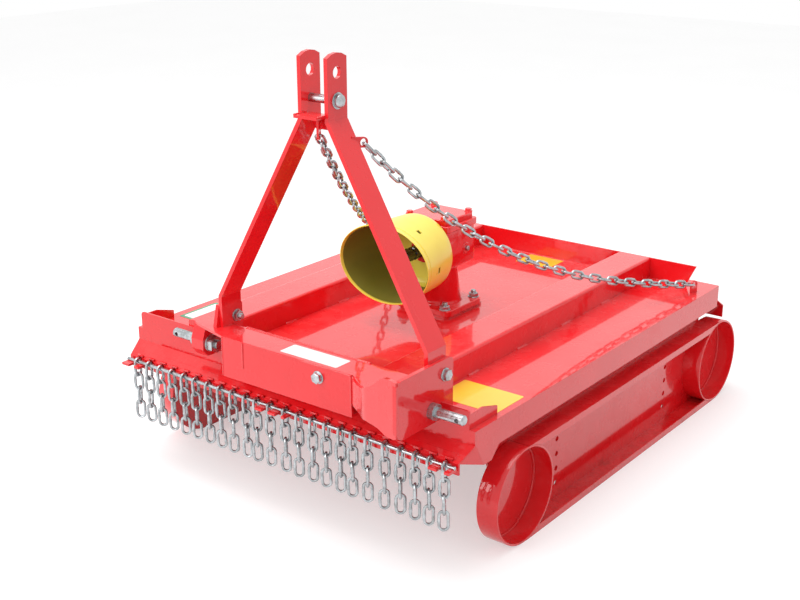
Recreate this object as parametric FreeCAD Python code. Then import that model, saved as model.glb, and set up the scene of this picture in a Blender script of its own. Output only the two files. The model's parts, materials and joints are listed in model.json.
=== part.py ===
import FreeCAD, Part
import math
import os

from FreeCAD import Base

# Tractor mounted rotary mower deck, 1.0 m class. Millimetres, Z up, ground at Z = 0.
# The tractor stands on the -Y side. The origin lies on the ground under the middle of the whole machine.

# Deck pan
WORK_WIDTH = 1000.0          # length of the chain rod across the front
DECK_OVERHANG = 14.0         # folded side edges beyond the rod's ends
DECK_FRONT = -566.0          # front edge of the flat pan
DECK_REAR = 609.0            # rear edge of the flat pan
DECK_TOP = 332.0             # upper face of the flat pan
DECK_SHEET = 4.0             # thickness of the pan
SIDE_DROP = 60.0             # height of the folded side edge
# Hat ribs along the deck
RIB_INNER = 230.0            # inner side of a rib from the centre line
RIB_WIDTH = 101.0
RIB_HEIGHT = 60.0
RIB_SHEET = 3.0
RIB_CORNER = 7.0
# Front lip with its sloped panel
LIP_SHEET = 4.0
LIP_INSET = 1.0              # from the rod's ends
LIP_TOP = 376.0
LIP_CORNER = 9.0             # how far the end tabs lie below the lip
LIP_FOLD = 300.0             # height where the panel starts to slope forward
SLOPE_DROP = 28.0            # down to the comb behind the chain rod
PANEL_TAPER = 12.0           # each end of the sloped panel
CHEEK_Y = -535.0             # low corner of the cheeks below the panel's ends
CHEEK_LOW = 244.0
CHEEK_SLOPE = 28.0
TAB_LENGTH = 100.0           # end tab of the lip, along the deck
TAB_LEVEL = 45.0             # level part of its top edge
TAB_REAR_HEIGHT = 19.0
# Rear wall on the pan and the skirt behind it
REAR_WALL_Y = 555.0          # front face of the wall
REAR_WALL_SHEET = 4.0
REAR_WALL_HEIGHT = 60.0
REAR_WALL_INSET = 45.0       # ends of its top edge from the sides of the deck
REAR_WALL_TAPER = 29.0       # how much further in its foot ends
SKIRT_SHEET = 3.0
SKIRT_FOLD = 290.0
SKIRT_REACH = 42.0
SKIRT_DROP = 26.0
SKIRT_HEM = 35.0
# Side plates that carry the skids
SIDE_PLATE_INSET = 38.0      # outer face from the side of the deck
SIDE_PLATE_SHEET = 6.0
SIDE_PLATE_FRONT = -496.0
SIDE_PLATE_REAR = 590.0
SIDE_PLATE_LOW = 62.0
SIDE_PLATE_SHOULDER = 60.0   # height of its upright ends below the pan
# Skids: two dished rings joined by a lipped channel
RING_RADIUS = 116.0
RING_WALL = 5.0
RING_WIDTH = 54.0
RING_SIDES = 48
RING_FRONT_Y = -390.0
RING_REAR_Y = 605.0
CHANNEL_SHEET = 4.0
CHANNEL_LIP = 17.0
HOLE_RADIUS = 6.5            # height holes in the web
HOLE_LOW = 44.0
HOLE_PITCH = 38.3
HOLE_COUNT = 4
HOLE_SIDES = 12
HOLE_FRONT_Y = -178.0
HOLE_REAR_Y = 378.0
# Hitch: two ears on a beam before the lip
HITCH_X = 86.0               # the hitch sits beside the centre line
HITCH_SPAN = 683.0           # between the outer faces of the ears
EAR_PLATE = 10.0
EAR_TOP = 468.0
EAR_LOW = 338.0
EAR_REAR = -528.0
EAR_FRONT = -721.0
EAR_CUT = 12.0               # cut off every corner of an ear
LEFT_EAR_NOSE = 26.0         # radius of the left ear round its pin
LEFT_EAR_THICK = 38.0        # boss that carries the left pin
FLANGE_TOP = 446.0           # front flange of the right ear
FLANGE_NEAR = 110.0
FLANGE_FAR = 180.0
FLANGE_SETBACK = 30.0
BEAM_FRONT = -645.0          # front face of the beam
BEAM_SHEET = 6.0
BEAM_TOP = 416.0
BEAM_LOW = 318.0
BEAM_LEFT = -137.0
PIN_Y = -603.0               # lower link pins
PIN_Z = 368.0
PIN_RADIUS = 11.0
PIN_REACH = 83.0             # from the ear's outer face to the tip
PIN_NUT_FLATS = 36.0
PIN_NUT_HEIGHT = 20.0
PIN_COLLAR_RADIUS = 18.0
PIN_COLLAR = 14.0
PIN_TAIL = 8.0               # thread beyond the nut
LINCH_RADIUS = 5.0
LINCH_INSET = 14.0           # linch pin hole from the tip
LINCH_SIDES = 12
# Mast: two bent flat bars
MAST_GAP = 64.0              # between the two head plates
MAST_PLATE = 10.0
MAST_WIDTH = 62.0
MAST_Y = -531.0              # middle of the head plates
MAST_TOP = 1066.0
MAST_CROWN = 10.0            # rise of the rounded top
MAST_HEAD = 143.0            # from the upper fold to the top
MAST_FOOT_Z = 489.0          # lower fold
MAST_FOOT_Y = -572.0
LEFT_FOOT_OUT = 270.0        # outer face of the left foot from the hitch centre line
TOP_HOLE_DROP = 41.0         # below the mast's top
TOP_HOLE_RADIUS = 13.0
TOP_PIN_DROP = 100.0
TOP_PIN_RADIUS = 9.5
TOP_PIN_HEAD = 5.0           # step of its head beyond the shank
TOP_PIN_HEAD_LENGTH = 8.0
TOP_PIN_TAIL = 18.0
# Bent gusset between the head plates and the lugs of the check chains
GUSSET_SHEET = 6.0
GUSSET_FRONT = -588.0
GUSSET_BEND = -543.0
GUSSET_REAR = -518.0
GUSSET_RISE = 8.0            # above the upper fold
GUSSET_DROP = 34.0
LUG_SHEET = 5.0
LUG_HOLE = 8.0
LUG_RIM = 3.5
LUG_SIDES = 16
LUG_WELD = 30.0              # from a lug's hole to its weld
RIGHT_LUG_OUT = 75.0         # hole of the right lug from the hitch centre line
RIGHT_LUG_Y = -490.0
RIGHT_LUG_DROP = 47.0        # below the upper fold
LEFT_LUG_Y = -545.0
LEFT_LUG_DROP = 31.0
REAR_LUG_INSET = 32.0        # from the side of the deck
REAR_LUG_Y = 518.0
REAR_LUG_RISE = 22.0
# Gearbox and its drive
ROTOR_Y = 37.0               # middle of gearbox and rotor
PTO_Z = 505.0
GEARBOX_HALF_WIDTH = 78.0
GEARBOX_HALF_LENGTH = 74.0
GEARBOX_LOW = 458.0
GEARBOX_TOP = 566.0
COVER_HALF_WIDTH = 92.0
COVER_HALF_LENGTH = 88.0
COVER_HEIGHT = 16.0          # two plates
COVER_STEP = 6.5             # upper plate inside the lower one
BORE_SIDES = 24
NECK_TOP_RADIUS = 62.0
NECK_LOW_RADIUS = 50.0
FLANGE_HALF = 78.0
FLANGE_HEIGHT = 16.0
BASE_HALF = 110.0
BASE_HEIGHT = 8.0
SNOUT_RADIUS = 45.0
SHAFT_RADIUS = 17.5
SHAFT_REACH = 82.0
SHAFT_TIP = 2.0              # chamfer of the stub
SEAT_RADIUS = 20.0           # thicker part of the shaft inside the housing
SEAT_LENGTH = 60.0
SEAT_SHOW = 2.0              # how far it stands out of the snout
PLAY = 0.3                   # radial play of every turning pin and shaft
GUARD_FRONT_Y = -224.0
GUARD_REAR_Y = -60.0
GUARD_HALF_WIDTH = 138.0
GUARD_HALF_HEIGHT = 99.0
GUARD_REAR_HALF_WIDTH = 101.0
GUARD_WALL = 3.0
GUARD_HOLE = 30.0
GUARD_SIDES = 40
# Rotor under the deck
HUB_RADIUS = 45.0
HUB_HEIGHT = 40.0
ROTOR_SHAFT_RADIUS = 25.0
ROTOR_SHAFT_TOP = 400.0
BAR_BEYOND = 30.0            # bar past the blade pins
BAR_HALF_WIDTH = 40.0
BAR_THICK = 12.0
BAR_Z = 100.0
BLADE_TIP_GAP = 20.0         # between the blade tips and the side plates
BLADE_PIN_RADIUS = 12.0
BLADE_PIN_FLATS = 36.0
BLADE_PIN_HEAD = 6.0
BLADE_DROP = 5.0             # collar between bar and blade
BLADE_LENGTH = 165.0
BLADE_ROOT = 25.0
BLADE_WIDTH = 60.0
BLADE_THICK = 8.0
# Chain curtain
ROD_Y = -621.0
ROD_Z = 265.5
ROD_RADIUS = 4.0
ROD_SEAT = 1.0               # how deep the rod lies in its brackets
COMB_SETBACK = 9.0           # from the rod's middle to the comb behind it
COMB_DROP = 19.5             # comb below the rod's middle
COMB_RISE = 14.5             # upper end of its slots above the rod's middle
COMB_SLOT = 19.0
BRACKET_SHEET = 6.0
BRACKET_REACH = 21.0         # in front of the rod
BRACKET_MIDDLE = 90.0        # width of the middle one
BRACKET_END = 60.0
CHAINS = 24
CHAIN_INSET = 28.5           # first and last chain from the rod's ends, before the shift
CHAIN_SHIFT = 6.0
LINKS = 4
LINK_WIRE = 6.5
LINK_LENGTH = 52.0
LINK_WIDTH = 27.0
LINK_SHOULDER = 0.8          # slope of a flat link's pointed ends
HANG_GAP = 0.3               # between the rod and the first links, and between links
# Check chains from the mast to the rear corners
CHECK_SAG = 103.0            # below the straight line, halfway
CHECK_COUNT_RIGHT = 31
CHECK_COUNT_LEFT = 35
CHECK_WIRE = 6.5
CHECK_WIDTH = 27.0
CHECK_SEAT = 7.3             # from a lug's hole to the first link's bow


def vector(*values):
    return Base.Vector(*values)


def box(x0, x1, y0, y1, z0, z1):
    return Part.makeBox(x1 - x0, y1 - y0, z1 - z0, vector(x0, y0, z0))


def rod(start, direction, radius, length):
    return Part.makeCylinder(radius, length, vector(*start), vector(*direction))


def face_of(points):
    corners = [vector(*point) for point in points]
    return Part.Face(Part.makePolygon(corners + corners[:1]))


def prism_x(points, x0, x1):
    """points are (y, z)"""
    return face_of([(x0, y, z) for y, z in points]).extrude(vector(x1 - x0, 0, 0))


def prism_y(points, y0, y1):
    """points are (x, z)"""
    return face_of([(x, y0, z) for x, z in points]).extrude(vector(0, y1 - y0, 0))


def prism_z(points, z0, z1):
    """points are (x, y)"""
    return face_of([(x, y, z0) for x, y in points]).extrude(vector(0, 0, z1 - z0))


def fused(*shapes):
    whole = shapes[0]
    for shape in shapes[1:]:
        whole = whole.fuse(shape)
    return whole.removeSplitter()


def mirrored(shape, x=0.0):
    return shape.mirror(vector(x, 0, 0), vector(1, 0, 0))


def polygon(u, v, flat, sides):
    """regular outline whose sides touch a circle of radius flat about (u, v)"""
    corner = flat / math.cos(math.pi / sides)
    turns = [math.pi * (2 * k + 1) / sides for k in range(sides)]
    return [(u + corner * math.cos(turn), v + corner * math.sin(turn)) for turn in turns]


def drum(y, z, flat, sides, x0, x1):
    """many-sided prism along X"""
    return prism_x(polygon(y, z, flat, sides), min(x0, x1), max(x0, x1))


def round_edges(shape, radius, choose):
    return shape.makeFillet(radius, [edge for edge in shape.Edges if choose(edge.BoundBox)])


def flat_link(length, width, wire):
    """six-sided chain link in the XZ plane, long way along Z, centred"""
    def outline(half_long, half_wide):
        shoulder = half_long - half_wide * LINK_SHOULDER
        return [(0, half_long), (half_wide, shoulder), (half_wide, -shoulder),
                (0, -half_long), (-half_wide, -shoulder), (-half_wide, shoulder)]
    outer = prism_y(outline(length / 2, width / 2), -wire / 2, wire / 2)
    return outer.cut(prism_y(outline(length / 2 - wire, width / 2 - wire), -wire, wire))


def square_link(length, width, wire):
    """chain link seen on edge, in the YZ plane, long way along Z, centred"""
    half_long = length / 2
    half_wide = width / 2
    outer = box(-wire / 2, wire / 2, -half_wide, half_wide, -half_long, half_long)
    return outer.cut(box(-wire, wire, wire - half_wide, half_wide - wire, wire - half_long, half_long - wire))


nodes = {}

# Deck pan with folded side edges
half_rod = WORK_WIDTH / 2
half_deck = half_rod + DECK_OVERHANG
pan_low = DECK_TOP - DECK_SHEET
side_low = DECK_TOP - SIDE_DROP
shaft_opening = rod((0, ROTOR_Y, pan_low - 1), (0, 0, 1), HUB_RADIUS, DECK_SHEET + 2)
panel_edge = LIP_FOLD - LIP_SHEET / 2
side_edge = prism_x(
    [(DECK_FRONT, DECK_TOP), (DECK_FRONT, panel_edge), (CHEEK_Y, CHEEK_LOW),
     (CHEEK_Y + CHEEK_SLOPE, CHEEK_LOW), (CHEEK_Y + 2 * CHEEK_SLOPE, side_low),
     (DECK_REAR, side_low), (DECK_REAR, DECK_TOP)],
    half_deck - DECK_SHEET, half_deck)
nodes["deck_pan"] = fused(
    box(-half_deck, half_deck, DECK_FRONT, DECK_REAR, pan_low, DECK_TOP),
    side_edge,
    mirrored(side_edge),
).cut(shaft_opening)

# Hat ribs
rib_top = DECK_TOP + RIB_HEIGHT
rib_out = RIB_INNER + RIB_WIDTH
rib = round_edges(box(RIB_INNER, rib_out, DECK_FRONT, REAR_WALL_Y, DECK_TOP, rib_top), RIB_CORNER,
                  lambda b: b.ZMin > rib_top - 1 and b.YLength > RIB_WIDTH + 1)
rib = rib.cut(box(RIB_INNER + RIB_SHEET, rib_out - RIB_SHEET, DECK_FRONT + RIB_SHEET, REAR_WALL_Y,
                  DECK_TOP, rib_top - RIB_SHEET))
nodes["deck_rib_right"] = rib
nodes["deck_rib_left"] = mirrored(rib)

# Front lip, sloped panel with its comb, cheeks and end tabs
half_lip = half_rod - LIP_INSET
lip_y = DECK_FRONT - LIP_SHEET
comb_y = ROD_Y + COMB_SETBACK
comb_back = comb_y + LIP_SHEET
comb_low = ROD_Z - COMB_DROP
fold_low = LIP_FOLD - SLOPE_DROP
half_comb = half_deck - PANEL_TAPER
chain_pitch = (WORK_WIDTH - 2 * CHAIN_INSET) / (CHAINS - 1)
chain_places = [CHAIN_SHIFT + (n - (CHAINS - 1) / 2) * chain_pitch for n in range(CHAINS)]
lip = prism_y(
    [(-half_deck, panel_edge), (half_deck, panel_edge), (half_deck, DECK_TOP), (half_lip, DECK_TOP),
     (half_lip, LIP_TOP), (-half_lip, LIP_TOP), (-half_lip, DECK_TOP), (-half_deck, DECK_TOP)],
    lip_y, DECK_FRONT)
lip = round_edges(lip, LIP_CORNER, lambda b: b.ZMin > LIP_TOP - 1 and b.XLength < 0.1)
panel = prism_x(
    [(DECK_FRONT, LIP_FOLD), (lip_y, LIP_FOLD), (comb_y, fold_low), (comb_y, comb_low), (comb_back, comb_low),
     (comb_back, fold_low - LIP_SHEET / 2), (DECK_FRONT, panel_edge)],
    -half_deck, half_deck)
panel = panel.common(prism_z(
    [(-half_deck, DECK_FRONT), (-half_deck, lip_y), (-half_comb, comb_y),
     (half_comb, comb_y), (half_deck, lip_y), (half_deck, DECK_FRONT)],
    comb_low, LIP_FOLD))
slot = box(-COMB_SLOT / 2, COMB_SLOT / 2, 2 * ROD_Y - DECK_FRONT, DECK_FRONT, comb_low - 1, ROD_Z + COMB_RISE)
chain_slots = Part.Compound([slot.translated(vector(x, 0, 0)) for x in chain_places])
cheek = face_of([
    (half_deck, DECK_FRONT, panel_edge),
    (half_comb, comb_y, fold_low),
    (half_deck, CHEEK_Y, CHEEK_LOW),
]).extrude(vector(-DECK_SHEET, 0, 0))
tab_top = LIP_TOP - LIP_CORNER
tab_rear = DECK_FRONT + TAB_LENGTH
tab = prism_x(
    [(DECK_FRONT, DECK_TOP), (DECK_FRONT, tab_top), (DECK_FRONT + TAB_LEVEL, tab_top),
     (tab_rear, DECK_TOP + TAB_REAR_HEIGHT), (tab_rear, DECK_TOP)],
    half_lip - LIP_SHEET, half_lip)
front_lip = fused(lip, panel.cut(chain_slots), cheek, mirrored(cheek), tab, mirrored(tab))
nodes["front_lip"] = front_lip.cut(nodes["deck_pan"])

# Rear wall and skirt
wall_top = DECK_TOP + REAR_WALL_HEIGHT
wall_top_half = half_deck - REAR_WALL_INSET
wall_foot_half = wall_top_half - REAR_WALL_TAPER
nodes["rear_wall"] = prism_y(
    [(-wall_foot_half, DECK_TOP), (wall_foot_half, DECK_TOP),
     (wall_top_half, wall_top), (-wall_top_half, wall_top)],
    REAR_WALL_Y, REAR_WALL_Y + REAR_WALL_SHEET)
skirt_out = DECK_REAR + SKIRT_SHEET
hem_top = SKIRT_FOLD - SKIRT_DROP
hem_low = hem_top - SKIRT_HEM
hem_y = DECK_REAR + SKIRT_REACH
nodes["rear_skirt"] = prism_x(
    [(DECK_REAR, DECK_TOP), (skirt_out, DECK_TOP), (skirt_out, SKIRT_FOLD), (hem_y + SKIRT_SHEET, hem_top),
     (hem_y + SKIRT_SHEET, hem_low), (hem_y, hem_low), (hem_y, hem_top - SKIRT_SHEET / 2),
     (DECK_REAR, SKIRT_FOLD - SKIRT_SHEET / 2)],
    -half_deck, half_deck)

# Side plates and skids
shoulder_z = pan_low - SIDE_PLATE_SHOULDER
plate_out = half_deck - SIDE_PLATE_INSET
plate_in = plate_out - SIDE_PLATE_SHEET
side_plate = prism_x(
    [(SIDE_PLATE_FRONT, pan_low), (SIDE_PLATE_FRONT, shoulder_z), (RING_FRONT_Y, SIDE_PLATE_LOW),
     (SIDE_PLATE_REAR - SIDE_PLATE_SHOULDER, SIDE_PLATE_LOW), (SIDE_PLATE_REAR, shoulder_z),
     (SIDE_PLATE_REAR, pan_low)],
    plate_in, plate_out)
ring_out = plate_out + RING_WIDTH
skid_top = 2 * RING_RADIUS
web_out = plate_out + CHANNEL_SHEET


def skid_ring(y):
    """short drum open on the outside, closed by a disc against the side plate"""
    outer = drum(y, RING_RADIUS, RING_RADIUS, RING_SIDES, plate_out, ring_out)
    return outer.cut(drum(y, RING_RADIUS, RING_RADIUS - RING_WALL, RING_SIDES, web_out, ring_out + 1))


channel = fused(
    box(plate_out, web_out, RING_FRONT_Y, RING_REAR_Y, 0, skid_top),
    box(plate_out, ring_out, RING_FRONT_Y, RING_REAR_Y, skid_top - CHANNEL_SHEET, skid_top),
    box(plate_out, ring_out, RING_FRONT_Y, RING_REAR_Y, 0, CHANNEL_SHEET),
    box(ring_out - CHANNEL_SHEET, ring_out, RING_FRONT_Y, RING_REAR_Y, skid_top - CHANNEL_LIP, skid_top),
    box(ring_out - CHANNEL_SHEET, ring_out, RING_FRONT_Y, RING_REAR_Y, 0, CHANNEL_LIP),
)
for y in (RING_FRONT_Y, RING_REAR_Y):
    channel = channel.cut(drum(y, RING_RADIUS, RING_RADIUS, RING_SIDES, plate_out - 1, ring_out + 1))
for y in (HOLE_FRONT_Y, HOLE_REAR_Y):
    for k in range(HOLE_COUNT):
        z = HOLE_LOW + k * HOLE_PITCH
        channel = channel.cut(drum(y, z, HOLE_RADIUS, HOLE_SIDES, plate_out - 1, web_out + 1))
channel = max(channel.Solids, key=lambda solid: solid.Volume)
nodes["side_plate_right"] = side_plate
nodes["side_plate_left"] = mirrored(side_plate)
for place, y in (("front", RING_FRONT_Y), ("rear", RING_REAR_Y)):
    nodes[f"skid_ring_{place}_right"] = skid_ring(y)
    nodes[f"skid_ring_{place}_left"] = mirrored(skid_ring(y))
nodes["skid_channel_right"] = channel
nodes["skid_channel_left"] = mirrored(channel)

# Hitch ears and beam
ear_right_out = HITCH_X + HITCH_SPAN / 2
ear_right_in = ear_right_out - EAR_PLATE
ear_left_out = HITCH_X - HITCH_SPAN / 2
ear_left_in = ear_left_out + LEFT_EAR_THICK
beam_right = ear_right_out - FLANGE_FAR
beam_back = BEAM_FRONT + BEAM_SHEET
shelf_low = BEAM_TOP - BEAM_SHEET
flange_mid = ear_right_out - FLANGE_NEAR
flange_y = EAR_FRONT + FLANGE_SETBACK
pin_bore = rod((ear_left_out - 1, PIN_Y, PIN_Z), (1, 0, 0), PIN_RADIUS, HITCH_SPAN + 2)
half_bar = MAST_WIDTH / 2
foot_front = MAST_FOOT_Y - half_bar
ear_right = prism_x(
    [(EAR_REAR, DECK_TOP), (EAR_REAR, EAR_TOP - EAR_CUT), (EAR_REAR - EAR_CUT, EAR_TOP),
     (EAR_FRONT + EAR_CUT, EAR_TOP), (EAR_FRONT, EAR_TOP - EAR_CUT), (EAR_FRONT, EAR_LOW + EAR_CUT),
     (EAR_FRONT + EAR_CUT, EAR_LOW), (lip_y, EAR_LOW), (lip_y, LIP_TOP), (DECK_FRONT, LIP_TOP),
     (DECK_FRONT, DECK_TOP)],
    ear_right_in, ear_right_out)
front_flange = prism_z(
    [(ear_right_out, EAR_FRONT), (ear_right_out, EAR_FRONT + EAR_PLATE), (flange_mid, flange_y + EAR_PLATE),
     (beam_right, beam_back), (beam_right, BEAM_FRONT), (flange_mid, flange_y)],
    EAR_LOW, FLANGE_TOP)
right_shelf = prism_z(
    [(beam_right, lip_y), (beam_right, beam_back), (flange_mid, flange_y + EAR_PLATE),
     (ear_right_in, EAR_FRONT + EAR_PLATE), (ear_right_in, lip_y)],
    shelf_low, BEAM_TOP)
nodes["hitch_ear_right"] = fused(ear_right, front_flange, right_shelf).cut(pin_bore)
nodes["hitch_beam"] = fused(
    box(BEAM_LEFT, beam_right, BEAM_FRONT, beam_back, BEAM_LOW, BEAM_TOP),
    box(BEAM_LEFT, beam_right, BEAM_FRONT, lip_y, shelf_low, BEAM_TOP),
    box(BEAM_LEFT, beam_right, BEAM_FRONT, lip_y, BEAM_LOW, BEAM_LOW + BEAM_SHEET),
)
left_boss = prism_x(
    [(lip_y, EAR_LOW), (PIN_Y - EAR_CUT, EAR_LOW), (PIN_Y - LEFT_EAR_NOSE, PIN_Z - EAR_CUT),
     (PIN_Y - LEFT_EAR_NOSE, PIN_Z + EAR_CUT), (PIN_Y - EAR_CUT, BEAM_TOP), (lip_y, BEAM_TOP)],
    ear_left_out, ear_left_in)
left_shelf = prism_z(
    [(ear_left_out, lip_y), (ear_left_out, PIN_Y - EAR_CUT), (BEAM_LEFT, BEAM_FRONT), (BEAM_LEFT, lip_y)],
    shelf_low, BEAM_TOP)
left_foot = HITCH_X - LEFT_FOOT_OUT
foot_plate = prism_x(
    [(EAR_REAR, DECK_TOP), (EAR_REAR, EAR_TOP - EAR_CUT), (EAR_REAR - EAR_CUT, EAR_TOP),
     (foot_front, EAR_TOP), (PIN_Y - EAR_CUT, BEAM_TOP), (lip_y, shelf_low), (lip_y, LIP_TOP),
     (DECK_FRONT, LIP_TOP), (DECK_FRONT, DECK_TOP)],
    left_foot - EAR_PLATE, left_foot)
nodes["hitch_ear_left"] = fused(left_boss, left_shelf, foot_plate).cut(pin_bore)


def link_pin(x_out, inner, side):
    """side is +1 on the right ear and -1 on the left ear"""
    tail = inner - side * (PIN_NUT_HEIGHT + PIN_TAIL)
    tip = x_out + side * PIN_REACH
    pin = rod((tail, PIN_Y, PIN_Z), (side, 0, 0), PIN_RADIUS, abs(tip - tail))
    tip_edge = [edge for edge in pin.Edges if abs(edge.BoundBox.Center.x - tip) < 0.1]
    pin = pin.makeChamfer(LINCH_RADIUS / 2, tip_edge)
    collar = rod((x_out, PIN_Y, PIN_Z), (side, 0, 0), PIN_COLLAR_RADIUS, PIN_COLLAR)
    nut = drum(PIN_Y, PIN_Z, PIN_NUT_FLATS / 2, 6, inner, inner - side * PIN_NUT_HEIGHT)
    linch_outline = polygon(tip - side * LINCH_INSET, PIN_Z, LINCH_RADIUS, LINCH_SIDES)
    linch_hole = prism_y(linch_outline, PIN_Y - PIN_REACH, PIN_Y + PIN_REACH)
    return fused(pin, collar, nut).cut(linch_hole)


nodes["lower_link_pin_right"] = link_pin(ear_right_out, ear_right_in, 1)
nodes["lower_link_pin_left"] = link_pin(ear_left_out, ear_left_in, -1)

# Mast bars
fold_z = MAST_TOP - MAST_HEAD
pin_z = MAST_TOP - TOP_PIN_DROP
head_in = MAST_GAP / 2
head_out = head_in + MAST_PLATE


def mast_bar(foot_out):
    """right bar about the hitch centre line: the front outline crossed with the side outline"""
    foot_in = foot_out - MAST_PLATE
    front = [(head_in, MAST_TOP), (head_in, fold_z), (foot_in, MAST_FOOT_Z), (foot_in, BEAM_TOP),
             (foot_out, BEAM_TOP), (foot_out, MAST_FOOT_Z + MAST_PLATE / 3),
             (head_out, fold_z + MAST_PLATE / 3), (head_out, MAST_TOP)]
    crown = [(MAST_Y + half_bar * t, MAST_TOP - MAST_CROWN * t * t) for t in (1, 0.5, 0, -0.5, -1)]
    side = crown + [(MAST_Y - half_bar, fold_z), (foot_front, MAST_FOOT_Z), (foot_front, BEAM_TOP),
                    (MAST_FOOT_Y + half_bar, BEAM_TOP), (MAST_FOOT_Y + half_bar, MAST_FOOT_Z),
                    (MAST_Y + half_bar, fold_z)]
    slab = prism_y([(HITCH_X + x, z) for x, z in front], MAST_Y - HITCH_SPAN, MAST_Y + HITCH_SPAN)
    return slab.common(prism_x(side, HITCH_X, HITCH_X + HITCH_SPAN))


def heading(start, end):
    """degrees by which the level direction from start to end turns off the Y axis, towards -X"""
    return math.degrees(math.atan2(start.x - end.x, end.y - start.y))


def lug(centre, back, up, turn):
    """upright plate with a chain's hole; the weld lies back along -Y and up, then all turns about the hole"""
    radius = LUG_HOLE + LUG_RIM
    low = centre.x - LUG_SHEET / 2
    along = vector(0, -back, up)
    across = along.cross(vector(1, 0, 0)).normalize() * radius
    corners = [centre + across, centre - across, centre + along - across, centre + along + across]
    plate = fused(drum(centre.y, centre.z, radius, LUG_SIDES, low, low + LUG_SHEET),
                  prism_x([(corner.y, corner.z) for corner in corners], low, low + LUG_SHEET))
    plate = plate.cut(drum(centre.y, centre.z, LUG_HOLE, LUG_SIDES, low - 1, low + LUG_SHEET + 1))
    return plate.rotate(centre, vector(0, 0, 1), turn)


head_bore = fused(
    rod((HITCH_X - HITCH_SPAN, MAST_Y, MAST_TOP - TOP_HOLE_DROP), (1, 0, 0), TOP_HOLE_RADIUS, 2 * HITCH_SPAN),
    rod((HITCH_X - HITCH_SPAN, MAST_Y, pin_z), (1, 0, 0), TOP_PIN_RADIUS, 2 * HITCH_SPAN),
)
right_hole = vector(HITCH_X + RIGHT_LUG_OUT, RIGHT_LUG_Y, fold_z - RIGHT_LUG_DROP)
left_hole = vector(HITCH_X, LEFT_LUG_Y, fold_z - LEFT_LUG_DROP)
rear_right = vector(half_deck - REAR_LUG_INSET, REAR_LUG_Y, DECK_TOP + REAR_LUG_RISE)
rear_left = vector(-rear_right.x, rear_right.y, rear_right.z)
right_turn = heading(right_hole, rear_right)
left_turn = heading(left_hole, rear_left)
right_bar = mast_bar(HITCH_SPAN / 2 - EAR_PLATE).cut(head_bore)
nodes["mast_bar_right"] = fused(right_bar, lug(right_hole, LUG_WELD, LUG_RIM, right_turn))
nodes["mast_bar_left"] = mirrored(mast_bar(LEFT_FOOT_OUT), HITCH_X).cut(head_bore)

gusset_z = fold_z + GUSSET_RISE
gusset_rear_z = gusset_z - GUSSET_DROP
gusset = prism_x(
    [(GUSSET_FRONT, gusset_z), (GUSSET_BEND, gusset_z), (GUSSET_REAR, gusset_rear_z),
     (GUSSET_REAR + GUSSET_SHEET, gusset_rear_z + GUSSET_SHEET / 2),
     (GUSSET_BEND + GUSSET_SHEET / 2, gusset_z + GUSSET_SHEET), (GUSSET_FRONT, gusset_z + GUSSET_SHEET)],
    HITCH_X - head_in, HITCH_X + head_in)
nodes["mast_gusset"] = fused(gusset, lug(left_hole, 0.0, gusset_z - left_hole.z, left_turn))
pin_start = HITCH_X - head_out - TOP_PIN_TAIL
pin_end = HITCH_X + head_out + TOP_PIN_HEAD_LENGTH
nodes["top_link_pin"] = fused(
    rod((pin_start, MAST_Y, pin_z), (1, 0, 0), TOP_PIN_RADIUS, pin_end - pin_start),
    rod((HITCH_X + head_out, MAST_Y, pin_z), (1, 0, 0), TOP_PIN_RADIUS + TOP_PIN_HEAD, TOP_PIN_HEAD_LENGTH),
)

# Gearbox
flange_low = DECK_TOP + BASE_HEIGHT
box_front = ROTOR_Y - GEARBOX_HALF_LENGTH
nodes["gearbox_base"] = box(
    -BASE_HALF, BASE_HALF, ROTOR_Y - BASE_HALF, ROTOR_Y + BASE_HALF, DECK_TOP, flange_low,
).cut(rod((0, ROTOR_Y, DECK_TOP - 1), (0, 0, 1), HUB_RADIUS, BASE_HEIGHT + 2))
box_rear = ROTOR_Y + GEARBOX_HALF_LENGTH
flange_high = flange_low + FLANGE_HEIGHT
housing = fused(
    box(-GEARBOX_HALF_WIDTH, GEARBOX_HALF_WIDTH, box_front, box_rear, GEARBOX_LOW, GEARBOX_TOP),
    Part.makeCone(NECK_LOW_RADIUS, NECK_TOP_RADIUS, GEARBOX_LOW - flange_low, vector(0, ROTOR_Y, flange_low)),
    box(-FLANGE_HALF, FLANGE_HALF, ROTOR_Y - FLANGE_HALF, ROTOR_Y + FLANGE_HALF, flange_low, flange_high),
    prism_y(polygon(0, PTO_Z, SNOUT_RADIUS, BORE_SIDES), GUARD_REAR_Y, box_front),
)
seat_outline = polygon(0, PTO_Z, SEAT_RADIUS + PLAY, BORE_SIDES)
seat_bore = prism_y(seat_outline, GUARD_REAR_Y - 1, GUARD_REAR_Y + SEAT_LENGTH + 1)
shaft_outline = polygon(0, ROTOR_Y, ROTOR_SHAFT_RADIUS + PLAY, BORE_SIDES)
shaft_bore = prism_z(shaft_outline, flange_low - 1, ROTOR_SHAFT_TOP + 1)
nodes["gearbox_housing"] = housing.cut(seat_bore).cut(shaft_bore)
cover_fold = GEARBOX_TOP + COVER_HEIGHT / 2
cover_width = COVER_HALF_WIDTH - COVER_STEP
cover_length = COVER_HALF_LENGTH - COVER_STEP
nodes["gearbox_cover"] = fused(
    box(-COVER_HALF_WIDTH, COVER_HALF_WIDTH, ROTOR_Y - COVER_HALF_LENGTH, ROTOR_Y + COVER_HALF_LENGTH,
        GEARBOX_TOP, cover_fold),
    box(-cover_width, cover_width, ROTOR_Y - cover_length, ROTOR_Y + cover_length,
        cover_fold, GEARBOX_TOP + COVER_HEIGHT),
)
stub_tip = GUARD_REAR_Y - SHAFT_REACH
stub = rod((0, GUARD_REAR_Y, PTO_Z), (0, -1, 0), SHAFT_RADIUS, SHAFT_REACH)
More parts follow.
